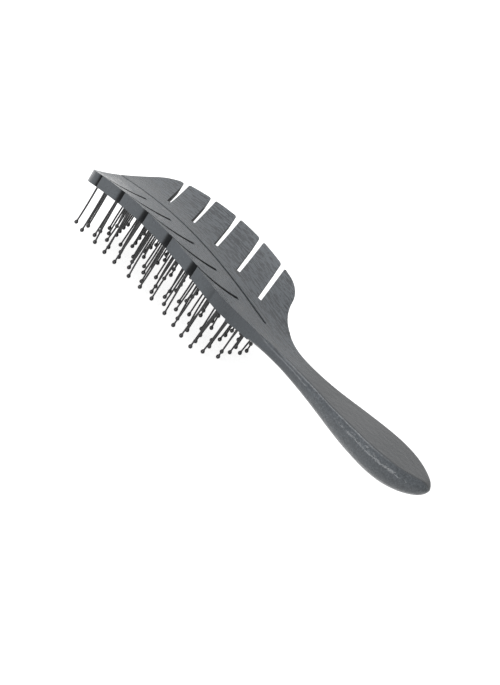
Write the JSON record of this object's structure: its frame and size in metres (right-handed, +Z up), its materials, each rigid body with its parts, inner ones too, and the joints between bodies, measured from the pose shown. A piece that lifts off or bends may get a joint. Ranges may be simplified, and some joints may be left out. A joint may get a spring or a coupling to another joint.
{
  "type": "vented hair brush",
  "caption": "Hair brush with a leaf-shaped vented head, a grooved midrib, ball-tipped pins and a swelling one-piece handle.",
  "frame": {"origin": "centre of the brush's length and width, at the level of the lowest pin tip", "axes": "+X along the brush from the head to the handle, +Z up through the back, pins pointing down, +Y across"},
  "size_m": [0.2161, 0.0736, 0.0395],
  "materials": {
    "shell": "dark grey plastic and plant fibre, fine grain along the head and the neck, leather-like grain on the handle",
    "pad": "matte black",
    "pin": "black nylon, satin"
  },
  "bodies": {
    "root": {"frame": "shell", "pin_plate": "pad", "pins_left_1": "pin", "pins_left_2": "pin", "pins_left_3": "pin", "pins_left_4": "pin", "pins_left_5": "pin", "pins_left_6": "pin", "pins_right_1": "pin", "pins_right_2": "pin", "pins_right_3": "pin", "pins_right_4": "pin", "pins_right_5": "pin", "pins_right_6": "pin"}
  },
  "joints": []
}
